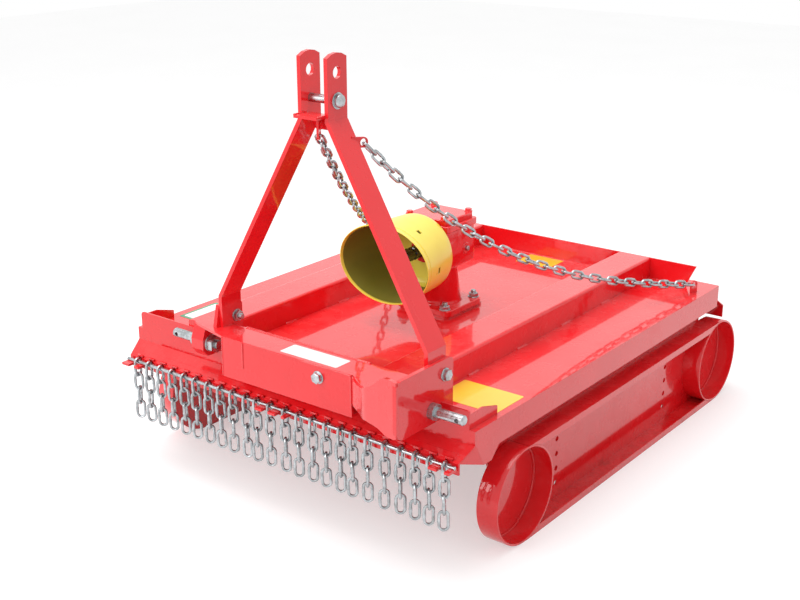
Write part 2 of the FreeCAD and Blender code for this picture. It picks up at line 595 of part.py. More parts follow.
stub = stub.makeChamfer(SHAFT_TIP, [edge for edge in stub.Edges if edge.BoundBox.YMax < stub_tip + 1])
seat = rod((0, GUARD_REAR_Y - SEAT_SHOW, PTO_Z), (0, 1, 0), SEAT_RADIUS, SEAT_SHOW + SEAT_LENGTH)
nodes["pto_shaft"] = fused(stub, seat)


def oval(y, half_x, half_z):
    """outline whose sides touch an ellipse and have the same directions on every ellipse"""
    step = 2 * math.pi / GUARD_SIDES
    turns = [step * k for k in range(GUARD_SIDES + 1)]
    reach = [math.hypot(half_x * math.cos(t), half_z * math.sin(t)) for t in turns]
    points = []
    for k in range(GUARD_SIDES):
        bend = (reach[k + 1] - reach[k] * math.cos(step)) / math.sin(step)
        across = reach[k] * math.cos(turns[k]) - bend * math.sin(turns[k])
        rise = reach[k] * math.sin(turns[k]) + bend * math.cos(turns[k])
        points.append(vector(across, y, PTO_Z + rise))
    return Part.makePolygon(points + points[:1])


def guard_body(inset):
    front = oval(GUARD_FRONT_Y, GUARD_HALF_WIDTH - inset, GUARD_HALF_HEIGHT - inset)
    rear = oval(GUARD_REAR_Y, GUARD_REAR_HALF_WIDTH - inset, GUARD_HALF_HEIGHT - inset)
    return Part.makeLoft([front, rear], True, True)


plate_y = GUARD_REAR_Y - GUARD_WALL
guard_plate = prism_y(polygon(0, PTO_Z, GUARD_HALF_HEIGHT - 1, GUARD_SIDES), plate_y, GUARD_REAR_Y)
guard_hole = prism_y(polygon(0, PTO_Z, GUARD_HOLE, BORE_SIDES), plate_y - 1, GUARD_REAR_Y + 1)
guard_plate = guard_plate.cut(guard_hole)
nodes["pto_guard"] = fused(guard_body(0.0).cut(guard_body(GUARD_WALL)), guard_plate)

# Rotor and its swinging blades
bar_top = BAR_Z + BAR_THICK
blade_pin_r = plate_in - BLADE_TIP_GAP - BLADE_LENGTH
bar_end = blade_pin_r + BAR_BEYOND
blade_top = BAR_Z - BLADE_DROP
blade_low = blade_top - BLADE_THICK
head_top = blade_low - PLAY
rotor_parts = [
    rod((0, ROTOR_Y, bar_top), (0, 0, 1), HUB_RADIUS, HUB_HEIGHT),
    rod((0, ROTOR_Y, bar_top), (0, 0, 1), ROTOR_SHAFT_RADIUS, ROTOR_SHAFT_TOP - bar_top),
    box(-bar_end, bar_end, ROTOR_Y - BAR_HALF_WIDTH, ROTOR_Y + BAR_HALF_WIDTH,
        BAR_Z, bar_top),
]
for x in (blade_pin_r, -blade_pin_r):
    six_sides = polygon(x, ROTOR_Y, BLADE_PIN_FLATS / 2, 6)
    rotor_parts.append(rod((x, ROTOR_Y, head_top), (0, 0, 1), BLADE_PIN_RADIUS, bar_top - head_top))
    rotor_parts.append(prism_z(six_sides, head_top - BLADE_PIN_HEAD, head_top))
    rotor_parts.append(prism_z(six_sides, blade_top + PLAY, BAR_Z))
nodes["rotor"] = fused(*rotor_parts)
half_blade = BLADE_WIDTH / 2
blade = box(blade_pin_r - BLADE_ROOT, blade_pin_r + BLADE_LENGTH, ROTOR_Y - half_blade, ROTOR_Y + half_blade,
            blade_low, blade_top)
pivot_outline = polygon(blade_pin_r, ROTOR_Y, BLADE_PIN_RADIUS + PLAY, BORE_SIDES)
blade = blade.cut(prism_z(pivot_outline, blade_low - 1, blade_top + 1))
nodes["blade_right"] = blade
nodes["blade_left"] = mirrored(blade)

# Chain rod, its brackets and the curtain
rod_bore = rod((-half_rod, ROD_Y, ROD_Z), (1, 0, 0), ROD_RADIUS, WORK_WIDTH)
nodes["chain_rod"] = rod_bore
bracket_top = ROD_Z - ROD_RADIUS + ROD_SEAT
brackets = []
for start, end in ((-half_rod, BRACKET_END - half_rod), (-BRACKET_MIDDLE / 2, BRACKET_MIDDLE / 2),
                   (half_rod - BRACKET_END, half_rod)):
    bracket = box(start, end, ROD_Y - BRACKET_REACH, comb_y, bracket_top - BRACKET_SHEET, bracket_top)
    brackets += bracket.cut(chain_slots).cut(rod_bore).Solids
nodes["rod_brackets"] = Part.Compound(brackets)
taper = LINK_SHOULDER * LINK_WIRE / 2
link_step = LINK_LENGTH - 2 * LINK_WIRE - taper - HANG_GAP
first_z = ROD_Z + ROD_RADIUS + HANG_GAP + LINK_WIRE - LINK_LENGTH / 2
shapes = (square_link(LINK_LENGTH, LINK_WIDTH, LINK_WIRE), flat_link(LINK_LENGTH, LINK_WIDTH, LINK_WIRE))
links = []
for x in chain_places:
    for k in range(LINKS):
        links.append(shapes[k % 2].translated(vector(x, ROD_Y, first_z - k * link_step)))
nodes["chain_curtain"] = Part.Compound(links)


def slack_point(start, end, u):
    return start + (end - start) * u - vector(0, 0, 4 * CHECK_SAG * u * (1 - u))


def slack_joints(start, end, pitch, count):
    """points one pitch apart on the slack curve, and how far along it they reach"""
    joints = [start]
    u = 0.0
    for _ in range(count):
        step = pitch / (end - start).Length
        for _ in range(6):
            step *= pitch / (slack_point(start, end, u + step) - joints[-1]).Length
        u += step
        joints.append(slack_point(start, end, u))
    return joints, u


def check_chain(start, end, count):
    """slack chain between two lugs, its pitch found from the number of links"""
    first = start + (slack_point(start, end, 0.02) - start).normalize() * CHECK_SEAT
    last = end + (slack_point(start, end, 0.98) - end).normalize() * CHECK_SEAT
    low, high = 0.0, 2 * (end - start).Length / count
    for _ in range(40):
        pitch = (low + high) / 2
        joints, reach = slack_joints(first, last, pitch, count)
        low, high = (low, pitch) if reach > 1.0 else (pitch, high)
    model = square_link(pitch + 2 * CHECK_WIRE + HANG_GAP, CHECK_WIDTH, CHECK_WIRE)
    chain = []
    for k in range(count):
        along = (joints[k + 1] - joints[k]).normalize()
        across = along.cross(vector(0, 0, 1)).normalize()
        if k % 2:
            across = along.cross(across)
        middle = (joints[k] + joints[k + 1]) * 0.5
        turn = Base.Placement(middle, Base.Rotation(vector(), across, along, "ZYX"))
        chain.append(model.transformed(turn.toMatrix()))
    return Part.Compound(chain)


# Check chains and their rear lugs
nodes["check_chain_right"] = check_chain(right_hole, rear_right, CHECK_COUNT_RIGHT)
nodes["check_chain_left"] = check_chain(left_hole, rear_left, CHECK_COUNT_LEFT)
nodes["chain_lugs"] = Part.Compound([
    lug(rear_right, 0.0, -REAR_LUG_RISE, right_turn),
    lug(rear_left, 0.0, -REAR_LUG_RISE, left_turn),
])

os.makedirs("parts", exist_ok=True)
for name, shape in nodes.items():
    shape.exportStep(f"parts/{name}.step")
print(len(nodes), "nodes")
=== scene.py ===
import json
import math
import random

import bmesh
import bpy
from mathutils import Matrix, Vector


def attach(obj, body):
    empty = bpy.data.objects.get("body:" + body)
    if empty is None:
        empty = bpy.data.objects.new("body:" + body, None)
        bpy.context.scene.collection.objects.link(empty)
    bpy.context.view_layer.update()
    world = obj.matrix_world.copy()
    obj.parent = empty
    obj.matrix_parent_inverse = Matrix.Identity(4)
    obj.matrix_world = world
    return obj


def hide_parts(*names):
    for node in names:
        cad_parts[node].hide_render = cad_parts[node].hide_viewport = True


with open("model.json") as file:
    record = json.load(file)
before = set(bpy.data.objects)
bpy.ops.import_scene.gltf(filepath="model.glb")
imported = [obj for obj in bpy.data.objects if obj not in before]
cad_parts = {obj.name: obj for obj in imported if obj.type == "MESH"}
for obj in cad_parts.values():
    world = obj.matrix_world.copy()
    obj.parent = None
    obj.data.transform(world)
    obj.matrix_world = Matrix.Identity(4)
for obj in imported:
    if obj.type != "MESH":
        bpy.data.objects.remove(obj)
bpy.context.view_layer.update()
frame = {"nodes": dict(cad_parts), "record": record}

rng = random.Random(7)
X = Vector((1, 0, 0))
Y = Vector((0, 1, 0))
Z = Vector((0, 0, 1))


# Shader helpers
def add(tree, kind, settings=None, inputs=None):
    """a shader node with settings, its inputs set to values or linked to sockets"""
    node = tree.nodes.new("ShaderNode" + kind)
    for key, value in (settings or {}).items():
        setattr(node, key, value)
    for key, value in (inputs or {}).items():
        if isinstance(value, bpy.types.NodeSocket):
            tree.links.new(value, node.inputs[key])
        else:
            node.inputs[key].default_value = value
    return node


def mix_color(tree, factor, a, b):
    return add(tree, "Mix", {"data_type": "RGBA"}, {0: factor, 6: a, 7: b}).outputs[2]


def maths(tree, operation, a, b=0.0):
    return add(tree, "Math", {"operation": operation, "use_clamp": True}, {0: a, 1: b}).outputs[0]


def noise_of(tree, place, scale, detail, roughness=0.5):
    settings = {"Vector": place, "Scale": scale, "Detail": detail, "Roughness": roughness}
    return add(tree, "TexNoise", None, settings).outputs["Fac"]


def ranged(tree, value, low, high, start=0.0, end=1.0):
    """value between low and high, spread over start to end"""
    settings = {"Value": value, "From Min": low, "From Max": high, "To Min": start, "To Max": end}
    return add(tree, "MapRange", None, settings).outputs[0]


def seen_directly(tree):
    """1 for what the camera, a reflection or a clear material shows, 0 for what lights the machine"""
    paths = add(tree, "LightPath").outputs
    seen = maths(tree, "MAXIMUM", paths["Is Camera Ray"], paths["Is Glossy Ray"])
    return maths(tree, "MAXIMUM", seen, paths["Is Transmission Ray"])


def new_group(name, inputs, output):
    """an empty shader group; inputs are (name, default), output is (name, socket type)"""
    tree = bpy.data.node_groups.new(name, "ShaderNodeTree")
    for title, default in inputs:
        socket = tree.interface.new_socket(title, in_out="INPUT", socket_type="NodeSocketFloat")
        socket.default_value = default
    tree.interface.new_socket(output[0], in_out="OUTPUT", socket_type=output[1])
    return tree, tree.nodes.new("NodeGroupInput").outputs, tree.nodes.new("NodeGroupOutput").inputs


def use(tree, group, **inputs):
    """places a shader group with its own values"""
    node = tree.nodes.new("ShaderNodeGroup")
    node.node_tree = group
    for key, value in inputs.items():
        node.inputs[key].default_value = value
    return node.outputs[0]


MASK = ("Mask", "NodeSocketFloat")


def build_blotches():
    """soft uneven patches"""
    tree, given, result = new_group("blotches", (("Scale", 6.0), ("Low", 0.4), ("High", 0.7)), MASK)
    place = add(tree, "TexCoord").outputs["Object"]
    noise = noise_of(tree, place, given["Scale"], 5.0, 0.6)
    ramp = add(tree, "MapRange", {"interpolation_type": "SMOOTHSTEP"},
               {"Value": noise, "From Min": given["Low"], "From Max": given["High"]})
    tree.links.new(ramp.outputs[0], result[0])
    return tree


def build_scuffs():
    """thin scratches in two directions"""
    tree, given, result = new_group("scuffs", (("Scale", 3.0), ("Cut", 0.7)), MASK)
    place = add(tree, "TexCoord").outputs["Object"]
    masks = []
    for stretch in ((1.0, 14.0, 14.0), (16.0, 1.4, 9.0)):
        mapped = add(tree, "Mapping", None, {"Vector": place, "Scale": stretch}).outputs[0]
        noise = noise_of(tree, mapped, given["Scale"], 8.0, 0.75)
        masks.append(ranged(tree, noise, given["Cut"], maths(tree, "ADD", given["Cut"], 0.05)))
    tree.links.new(maths(tree, "MAXIMUM", masks[0], masks[1]), result[0])
    return tree


def build_dust_and_sheen():
    """light dust and a painted sheen where a face looks up"""
    tree, given, result = new_group("dust_and_sheen", (("Scale", 5.0), ("Amount", 0.3)), MASK)
    place = add(tree, "TexCoord").outputs["Object"]
    normal = add(tree, "NewGeometry").outputs["Normal"]
    facing = add(tree, "SeparateXYZ", None, {0: normal}).outputs["Z"]
    patchy = ranged(tree, noise_of(tree, place, given["Scale"], 7.0, 0.7), 0.4, 0.75)
    # faces that look up get dust and a painted sheen that lightens them
    both = maths(tree, "MULTIPLY", ranged(tree, facing, 0.5, 1.0), patchy)
    tree.links.new(maths(tree, "MULTIPLY", both, given["Amount"]), result[0])
    return tree


def build_low_dirt():
    """dirt near the ground, broken up by noise"""
    tree, given, result = new_group("low_dirt", (("Height", 0.05), ("Scale", 22.0)), MASK)
    place = add(tree, "TexCoord").outputs["Object"]
    height = add(tree, "SeparateXYZ", None, {0: place}).outputs["Z"]
    fade = ranged(tree, height, 0.0, given["Height"], 1.0, 0.0)
    patchy = ranged(tree, noise_of(tree, place, given["Scale"], 6.0, 0.7), 0.5, 0.68)
    tree.links.new(maths(tree, "MULTIPLY", fade, patchy), result[0])
    return tree


def build_skin():
    """softened edges and a fine uneven surface"""
    inputs = (("Scale", 90.0), ("Strength", 0.1), ("Distance", 0.001), ("Edge", 0.0012))
    tree, given, result = new_group("skin", inputs, ("Normal", "NodeSocketVector"))
    edge = add(tree, "Bevel", {"samples": 4}, {"Radius": given["Edge"]})
    place = add(tree, "TexCoord").outputs["Object"]
    noise = noise_of(tree, place, given["Scale"], 3.0)
    bump = add(tree, "Bump", None, {"Strength": given["Strength"], "Distance": given["Distance"],
                                    "Height": noise, "Normal": edge.outputs[0]})
    tree.links.new(bump.outputs[0], result[0])
    return tree


BLOTCHES = build_blotches()
SCUFFS = build_scuffs()
DUST_AND_SHEEN = build_dust_and_sheen()
LOW_DIRT = build_low_dirt()
SKIN = build_skin()


def new_material(name):
    """a material with its node tree and its Principled shader"""
    material = bpy.data.materials.new(name)
    material.use_nodes = True
    tree = material.node_tree
    return material, tree, tree.nodes["Principled BSDF"]


def set_shader(tree, shader, color, rough, normal, **constants):
    tree.links.new(color, shader.inputs["Base Color"])
    tree.links.new(rough, shader.inputs["Roughness"])
    tree.links.new(normal, shader.inputs["Normal"])
    for key, value in constants.items():
        shader.inputs[key.replace("_", " ")].default_value = value


SOIL = (0.10, 0.055, 0.03, 1)


def paint(name, bright, deep, dust_sheen_and_scuff, rough, dirt, coat, shine=0.5):
    """glossy sprayed paint: uneven depth, dust and a painted sheen on top, scuffs and dirt near the
    ground
    """
    material, tree, shader = new_material(name)
    color = mix_color(tree, use(tree, BLOTCHES, Scale=3.0, Low=0.35, High=0.7), bright, deep)
    # dust and a painted sheen lighten the faces that look up
    color = mix_color(tree, use(tree, DUST_AND_SHEEN, Scale=7.0, Amount=0.2), color, dust_sheen_and_scuff)
    scratched = maths(tree, "MULTIPLY", use(tree, SCUFFS, Scale=2.2, Cut=0.69), 0.3)
    color = mix_color(tree, scratched, color, dust_sheen_and_scuff)
    grime = maths(tree, "MULTIPLY", use(tree, LOW_DIRT, Height=0.05, Scale=26.0), dirt)
    color = mix_color(tree, grime, color, SOIL)
    patches = use(tree, BLOTCHES, Scale=14.0, Low=0.4, High=0.75)
    uneven = ranged(tree, patches, 0.0, 1.0, rough, rough + 0.16)
    normal = use(tree, SKIN, Scale=120.0, Strength=0.10, Distance=0.0006, Edge=0.0016)
    set_shader(tree, shader, color, maths(tree, "ADD", uneven, grime), normal,
               Coat_Weight=coat, Coat_Roughness=0.03, Specular_IOR_Level=shine)
    return material


def metal(name, light, dark, stain, rough, stained=0.35):
    """plated or bare metal with a mottled skin and dull stains"""
    material, tree, shader = new_material(name)
    color = mix_color(tree, use(tree, BLOTCHES, Scale=60.0, Low=0.35, High=0.7), light, dark)
    dull = maths(tree, "MULTIPLY", use(tree, BLOTCHES, Scale=24.0, Low=0.52, High=0.72), stained)
    color = mix_color(tree, dull, color, stain)
    patches = use(tree, BLOTCHES, Scale=150.0, Low=0.3, High=0.8)
    uneven = ranged(tree, patches, 0.0, 1.0, rough, rough + 0.22)
    normal = use(tree, SKIN, Scale=260.0, Strength=0.18, Distance=0.0005, Edge=0.0008)
    set_shader(tree, shader, color, uneven, normal, Metallic=1.0)
    return material


RED = paint(
    "red_paint", (0.84, 0.012, 0.018, 1), (0.72, 0.008, 0.012, 1), (0.95, 0.26, 0.25, 1),
    0.22, dirt=0.3, coat=1.0, shine=0.12)
ZINC = metal(
    "zinc", (0.52, 0.55, 0.57, 1), (0.32, 0.34, 0.35, 1), (0.24, 0.23, 0.20, 1), 0.24)
BLACK_STEEL = paint(
    "black_steel", (0.020, 0.020, 0.022, 1), (0.012, 0.012, 0.012, 1), (0.10, 0.10, 0.10, 1),
    0.20, dirt=0.0, coat=0.8)
DARK_STEEL = metal(
    "dark_steel", (0.16, 0.16, 0.17, 1), (0.09, 0.09, 0.10, 1), (0.19, 0.10, 0.05, 1), 0.42, 0.6)
YELLOW = paint(
    "yellow_guard", (0.93, 0.74, 0.085, 1), (0.84, 0.62, 0.055, 1), (0.94, 0.84, 0.50, 1),
    0.30, dirt=0.0, coat=0.25)
# dark olive paint for a sheet inside the guard: painted shade in its hollow
GUARD_PAINTED_SHADE = paint(
    "guard_painted_shade", (0.20, 0.18, 0.020, 1), (0.10, 0.09, 0.015, 1), (0.28, 0.26, 0.10, 1),
    0.50, dirt=0.0, coat=0.1)
LABEL_WHITE = paint(
    "label_white", (0.86, 0.87, 0.86, 1), (0.80, 0.81, 0.80, 1), (0.70, 0.69, 0.66, 1),
    0.28, dirt=0.0, coat=0.4)
LABEL_YELLOW = paint(
    "label_yellow", (0.95, 0.63, 0.020, 1), (0.90, 0.56, 0.015, 1), (0.92, 0.74, 0.30, 1),
    0.28, dirt=0.0, coat=0.4)
LABEL_GREEN = paint(
    "label_green", (0.03, 0.30, 0.12, 1), (0.02, 0.24, 0.09, 1), (0.40, 0.52, 0.42, 1),
    0.28, dirt=0.0, coat=0.4)
SLOT_MATERIAL = {
    "red_paint": RED, "zinc": ZINC, "black_steel": BLACK_STEEL,
    "dark_steel": DARK_STEEL, "yellow_guard": YELLOW}

for part in frame["record"]["subparts"]:
    for slot in frame["nodes"][part["node"]].material_slots:
        slot.material = SLOT_MATERIAL[part["material_slot"]]


# Mesh helpers.
WIRE_SIDES, LINK_BENDS = 8, 9
BOLT_SIZE, THREAD_PITCH = 14, 1.5
WELD_SWELLING = ((0.22, 1.0), (0.12, 1.13), (0.0, 1.16), (-0.12, 1.13), (-0.22, 1.0))


def put_in_scene(name, data):
    thing = bpy.data.objects.new(name, data)
    bpy.context.scene.collection.objects.link(thing)
    return thing


def finish(name, mesh, body, material, replaced=(), sharp=38.0):
    """turns a mesh in millimetres into a piece that rides on a body; sharp is in degrees"""
    bmesh.ops.recalc_face_normals(mesh, faces=mesh.faces)
    bmesh.ops.scale(mesh, vec=(0.001, 0.001, 0.001), verts=mesh.verts)
    data = bpy.data.meshes.new(name)
    mesh.to_mesh(data)
    mesh.free()
    data.shade_smooth()
    data.set_sharp_from_angle(angle=math.radians(sharp))
    data.materials.append(material)
    piece = put_in_scene(name, data)
    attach(piece, body)
    if replaced:
        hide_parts(*replaced)


def angles(count, start=0.0):
    """angles spread evenly over one turn"""
    return [start + 2 * math.pi * k / count for k in range(count)]


def skin_rings(mesh, rings, loop=False, caps=False):
    """joins rings of points with quads"""
    rows = [[mesh.verts.new(point) for point in ring] for ring in rings]
    count = len(rows[0])
    for a, b in zip(rows, rows[1:] + rows[:1] if loop else rows[1:]):
        for k in range(count):
            mesh.faces.new((a[k], a[(k + 1) % count], b[(k + 1) % count], b[k]))
    if caps:
        mesh.faces.new(rows[0])
        mesh.faces.new(rows[-1])


def across(axis):
    """two directions square to an axis"""
    side = axis.cross(Z if abs(axis.z) < 0.9 else X).normalized()
    return side, side.cross(axis).normalized()


def revolve(mesh, centre, axis, profile, sides, loop=True, turn=0.0):
    """profile is (along the axis, radius) pairs"""
    u, v = across(axis)
    spokes = [u * math.cos(a) + v * math.sin(a) for a in angles(sides, turn)]
    rings = [[centre + axis * s + spoke * r for spoke in spokes] for s, r in profile]
    skin_rings(mesh, rings, loop, not loop)


def tube(mesh, path, radii, closed=False):
    """round wire along a path; radii is one number or one per point"""
    count = len(path)
    if not isinstance(radii, list):
        radii = [radii] * count
    rings = []
    side = None
    for k, point in enumerate(path):
        before = path[k - 1] if k or closed else path[0]
        after = path[(k + 1) % count] if k < count - 1 or closed else path[-1]
        along = (after - before).normalized()
        side = across(along)[0] if side is None else (side - along * side.dot(along)).normalized()
        other = along.cross(side)
        rings.append([point + (side * math.cos(a) + other * math.sin(a)) * radii[k]
                      for a in angles(WIRE_SIDES)])
    skin_rings(mesh, rings, closed, not closed)


def rounded(reach_u, reach_v, radius, steps):
    """outline of a rounded rectangle; the centres of its corners are reach_u and reach_v away"""
    outline = []
    for q, (su, sv) in enumerate(((1, 1), (-1, 1), (-1, -1), (1, -1))):
        for k in range(steps + 1):
            a = math.pi / 2 * (q + k / steps)
            outline.append((su * reach_u + radius * math.cos(a), sv * reach_v + radius * math.sin(a)))
    return outline


def block(mesh, centre, u, v, w, corner, edge):
    """rounded rectangle 2u by 2v with thickness w, its face edges taken off"""
    eu, ev = u.normalized(), v.normalized()
    normal = eu.cross(ev)
    radius = max(corner, 0.01)
    rings = []
    for height, inset in ((0, 0), (w - edge, 0), (w, edge)):
        outline = rounded(u.length - radius, v.length - radius, radius - min(inset, radius * 0.9), 4)
        rings.append([centre + normal * height + eu * along + ev * up for along, up in outline])
    skin_rings(mesh, rings, False, True)


def stack(mesh, x, y, half_x, half_y, corner, layers):
    """rounded rectangles above each other; layers are (height, how far it draws in) pairs"""
    rings = []
    for z, inset in layers:
        radius = max(corner - inset * 0.6, 0.5)
        outline = rounded(half_x - inset - radius, half_y - inset - radius, radius, 5)
        rings.append([Vector((x + along, y + back, z)) for along, back in outline])
    skin_rings(mesh, rings, False, True)


def plate(mesh, outline, thick):
    """flat plate from its outline and the vector of its thickness"""
    near = [mesh.verts.new(point) for point in outline]
    far = [mesh.verts.new(point + thick) for point in outline]
    mesh.faces.new(near)
    mesh.faces.new(far)
    for k in range(len(near)):
        mesh.faces.new((near[k - 1], near[k], far[k], far[k - 1]))


def thicken(mesh, thickness):
    bmesh.ops.recalc_face_normals(mesh, faces=mesh.faces)
    bmesh.ops.solidify(mesh, geom=mesh.faces, thickness=thickness)


def hex_head(mesh, seat, axis, flats, height, turn):
    """hexagon with its outer corners taken off, standing on seat"""
    corner = flats / math.sqrt(3)
    profile = [(0, corner), (height * 0.86, corner), (height, corner * 0.87)]
    revolve(mesh, seat, axis, profile, 6, False, turn)


def washer(mesh, seat, axis, inner, outer, height):
    bevel = height * 0.3
    profile = [(0, inner), (0, outer), (height - bevel, outer), (height, outer - bevel), (height, inner)]
    revolve(mesh, seat, axis, profile, 28)


def thread(mesh, start, axis, radius, length):
    """threaded end with a small chamfer"""
    profile = []
    for k in range(int(length / THREAD_PITCH)):
        profile += [(k * THREAD_PITCH, radius * 0.9), ((k + 0.5) * THREAD_PITCH, radius)]
    profile.append((length, radius * 0.78))
    revolve(mesh, start, axis, profile, 20, False)


def bolt(mesh, seat, axis, stud, turn):
    """washer and hexagon of a bolt and, for a nut, the end of its thread, which is stud long"""
    washer(mesh, seat, axis, BOLT_SIZE * 0.52, BOLT_SIZE * 1.05, BOLT_SIZE * 0.16)
    hex_head(mesh, seat + axis * BOLT_SIZE * 0.16, axis, BOLT_SIZE * 1.6, BOLT_SIZE * 0.66, turn)
    if stud:
        thread(mesh, seat + axis * BOLT_SIZE * 0.8, axis, BOLT_SIZE / 2, stud)


def weld(mesh, points, radius, closed=False):
    """rippled bead along a line of points"""
    path = []
    for a, b in zip(points, points[1:] + points[:1] if closed else points[1:]):
        steps = max(2, int((b - a).length / (radius * 0.7)))
        path += [a + (b - a) * (k / steps) for k in range(steps)]
    if not closed:
        path.append(points[-1])
    ripples = [0.9 + 0.16 * math.sin(k * 1.9) + rng.uniform(-0.05, 0.05) for k in range(len(path))]
    tube(mesh, path, [radius * ripple for ripple in ripples], closed)


def wire_link(mesh, place, length, width, wire, waist=0.0):
    """closed chain link in the local XZ plane, long way along Z, with the swelling of its weld;
    a waist above 0 draws its straight sides together"""
    half = (length - width) / 2
    bend = (width - wire) / 2
    seam = -X * bend
    rings = []

    def wire_ring(centre, outward, grow=1.0):
        rings.append([place @ (centre + (outward * math.cos(b) + Y * math.sin(b)) * wire / 2 * grow)
                      for b in angles(WIRE_SIDES)])

    for top in (1, -1):
        for k in range(LINK_BENDS + 1):
            a = math.pi * (k / LINK_BENDS + (0 if top > 0 else 1))
            outward = Vector((math.cos(a), 0, math.sin(a)))
            z = outward.z * bend + top * half
            pinch = 1 - waist * max(0.0, 1 - (z / (half + 1e-6)) ** 2) if abs(z) < half else 1
            centre = Vector((outward.x * bend * pinch, 0, z))
            wire_ring(centre, outward)
            if (centre - seam - Z * half).length < 0.01:
                for s, grow in WELD_SWELLING:
                    wire_ring(seam * (1 - waist * 0.9) + Z * (s * length * 0.5), -X, grow)
    skin_rings(mesh, rings, True)


def polar(x, radius, angle, y, z):
    """point on a circle in the plane at x, about the line along X through y and z"""
    return Vector((x, y + radius * math.cos(angle), z + radius * math.sin(angle)))


def label(name, centre, u, v, material):
    """blank sticker 2u by 2v"""
    mesh = bmesh.new()
    block(mesh, Vector(centre), Vector(u), Vector(v), 0.5, 4.0, 0.2)
    finish(name, mesh, "deck", material)


# Chain curtain: chains of links on the rod. CHAIN_OFFSETS is how far each chain hangs beside
# the middle of its slot in the photo.
FIRST_SLOT, SLOT_STEP = -465.5, 41.0
CHAIN_OFFSETS = (0, 0, 0, 0, 1, 0, 1, 1, 1, 3, -4, -3, 3, 3, 3, 3, 3, -3, -3, 4, 4, 3, -1, -3)
LINKS_PER_CHAIN = 4
ROD_Y, ROD_Z, ROD_RADIUS = -621.0, 265.5, 4.0
LINK_LENGTH, LINK_WIDTH, LINK_WIRE = 51.5, 26.0, 7.0
LINK_PITCH = LINK_LENGTH - 2 * LINK_WIRE
TOP_LINK_TWIST, OTHER_LINK_TWIST = 0.12, 0.62
curtain = bmesh.new()
for n, offset in enumerate(CHAIN_OFFSETS):
    x = FIRST_SLOT + n * SLOT_STEP + offset
    hang = ROD_Z + ROD_RADIUS + LINK_WIRE - LINK_LENGTH / 2
    swing = rng.uniform(-0.02, 0.05)
    yaw = rng.uniform(-0.1, 0.1)
    for k in range(LINKS_PER_CHAIN):
        twist = TOP_LINK_TWIST if k == 0 else OTHER_LINK_TWIST + yaw + rng.uniform(-0.1, 0.1)
        turn = Matrix.Rotation(math.pi / 2 * (1 - k % 2) + twist, 4, "Z")
        tilt = Matrix.Rotation(rng.uniform(-0.03, 0.03) + swing, 4, "X")
        spot = Matrix.Translation((x, ROD_Y - swing * k * 20, hang - k * LINK_PITCH))
        wire_link(curtain, spot @ tilt @ turn, LINK_LENGTH, LINK_WIDTH, LINK_WIRE, waist=-0.05)
finish("curtain_links", curtain, "curtain", ZINC, ("chain_curtain",))

# Upper ends of the comb slots: covers along the lip and above each slot, and cheeks beside
# each chain's first link
LIP_HALF, SLOT_HALF, LINK_ROOM = 490.0, 9.6, 5.4
CHEEK_Y, COVER_Z, CHEEK_Z, CHEEK_THICK = -608.0, 278.0, 261.5, 4.0
slot_ends = bmesh.new()
slope = Vector((0, 6.5, 4.333))
slope_foot = Vector((0, -599.5, 280.3)) - X.cross(slope).normalized() * 2
block(slot_ends, slope_foot, X * LIP_HALF, slope, 2.6, 0.5, 0.4)
block(slot_ends, Vector((0, -604, 269)), X * LIP_HALF, Z * 7.5, 1.5, 0.3, 0.1)
for n, offset in enumerate(CHAIN_OFFSETS):
    middle = FIRST_SLOT + n * SLOT_STEP
    cover = Vector((middle, CHEEK_Y, COVER_Z))
    block(slot_ends, cover, X * SLOT_HALF, Z * 2.5, CHEEK_THICK, 0.3, 0.1)
    for start, end in ((-SLOT_HALF, offset - LINK_ROOM), (offset + LINK_ROOM, SLOT_HALF)):
        if end - start > 1:
            cheek = Vector((middle + (start + end) / 2, CHEEK_Y, CHEEK_Z))
            block(slot_ends, cheek, X * ((end - start) / 2), Z * 15, CHEEK_THICK, 0.3, 0.1)
finish("slot_ends", slot_ends, "deck", RED)

# Check chains from the mast to the rear corners
RIGHT_HOLE = Vector((161, -490, 876))
LEFT_HOLE = Vector((86, -545, 892))
REAR_HOLE_RIGHT = Vector((482, 518, 354))
REAR_HOLE_LEFT = Vector((-482, 518, 354))
CHECK_WIRE, CHECK_WIDTH, CHECK_SEAT = 6.8, 24.0, 6.8


def slack_joints(start, end, sag, lean, pitch, count):
    """joints of a slack chain one pitch apart, and how far along its line the last one comes"""
    def point(u):
        return start + (end - start) * u - Z * (4 * sag * u * (1 - u) * (1 + lean * (1 - 2 * u)))

    joints = [start]
    u = 0.0
    for _ in range(count):
        step = pitch / (end - start).length
        for _ in range(6):
            step *= pitch / (point(u + step) - joints[-1]).length
        u += step
        joints.append(point(u))
    return joints, u


def check_chain(name, start, end, sag, lean, count, replaced):
    """chain hanging slack; lean moves its lowest part towards the start"""
    heading = (end - start).normalized()
    fall = 4 * sag / (end - start).length
    first = start + (heading - Z * fall * (1 + lean)).normalized() * CHECK_SEAT
    last = end - (heading + Z * fall * (1 - lean)).normalized() * CHECK_SEAT
    low, high = 0.0, 2 * (end - start).length / count
    for _ in range(40):
        pitch = (low + high) / 2
        joints, reach = slack_joints(first, last, sag, lean, pitch, count)
        low, high = (low, pitch) if reach > 1.0 else (pitch, high)
    mesh = bmesh.new()
    for k in range(count):
        along = (joints[k + 1] - joints[k]).normalized()
        wide = along.cross(Z).normalized()
        if k % 2:
            wide = along.cross(wide)
        turn = Matrix((wide, along.cross(wide), along)).transposed().to_4x4()
        roll = Matrix.Rotation(rng.uniform(-0.22, 0.22) if 0 < k < count - 1 else 0.0, 4, "Z")
        middle = Matrix.Translation((joints[k] + joints[k + 1]) / 2)
        wire_link(mesh, middle @ turn @ roll, pitch + 2 * CHECK_WIRE, CHECK_WIDTH, CHECK_WIRE)
    finish(name, mesh, "deck", ZINC, (replaced,))


check_chain("check_chain_links_right", RIGHT_HOLE, REAR_HOLE_RIGHT, 112, 0.3, 37, "check_chain_right")
check_chain("check_chain_links_left", LEFT_HOLE, REAR_HOLE_LEFT, 103, 0.0, 41, "check_chain_left")

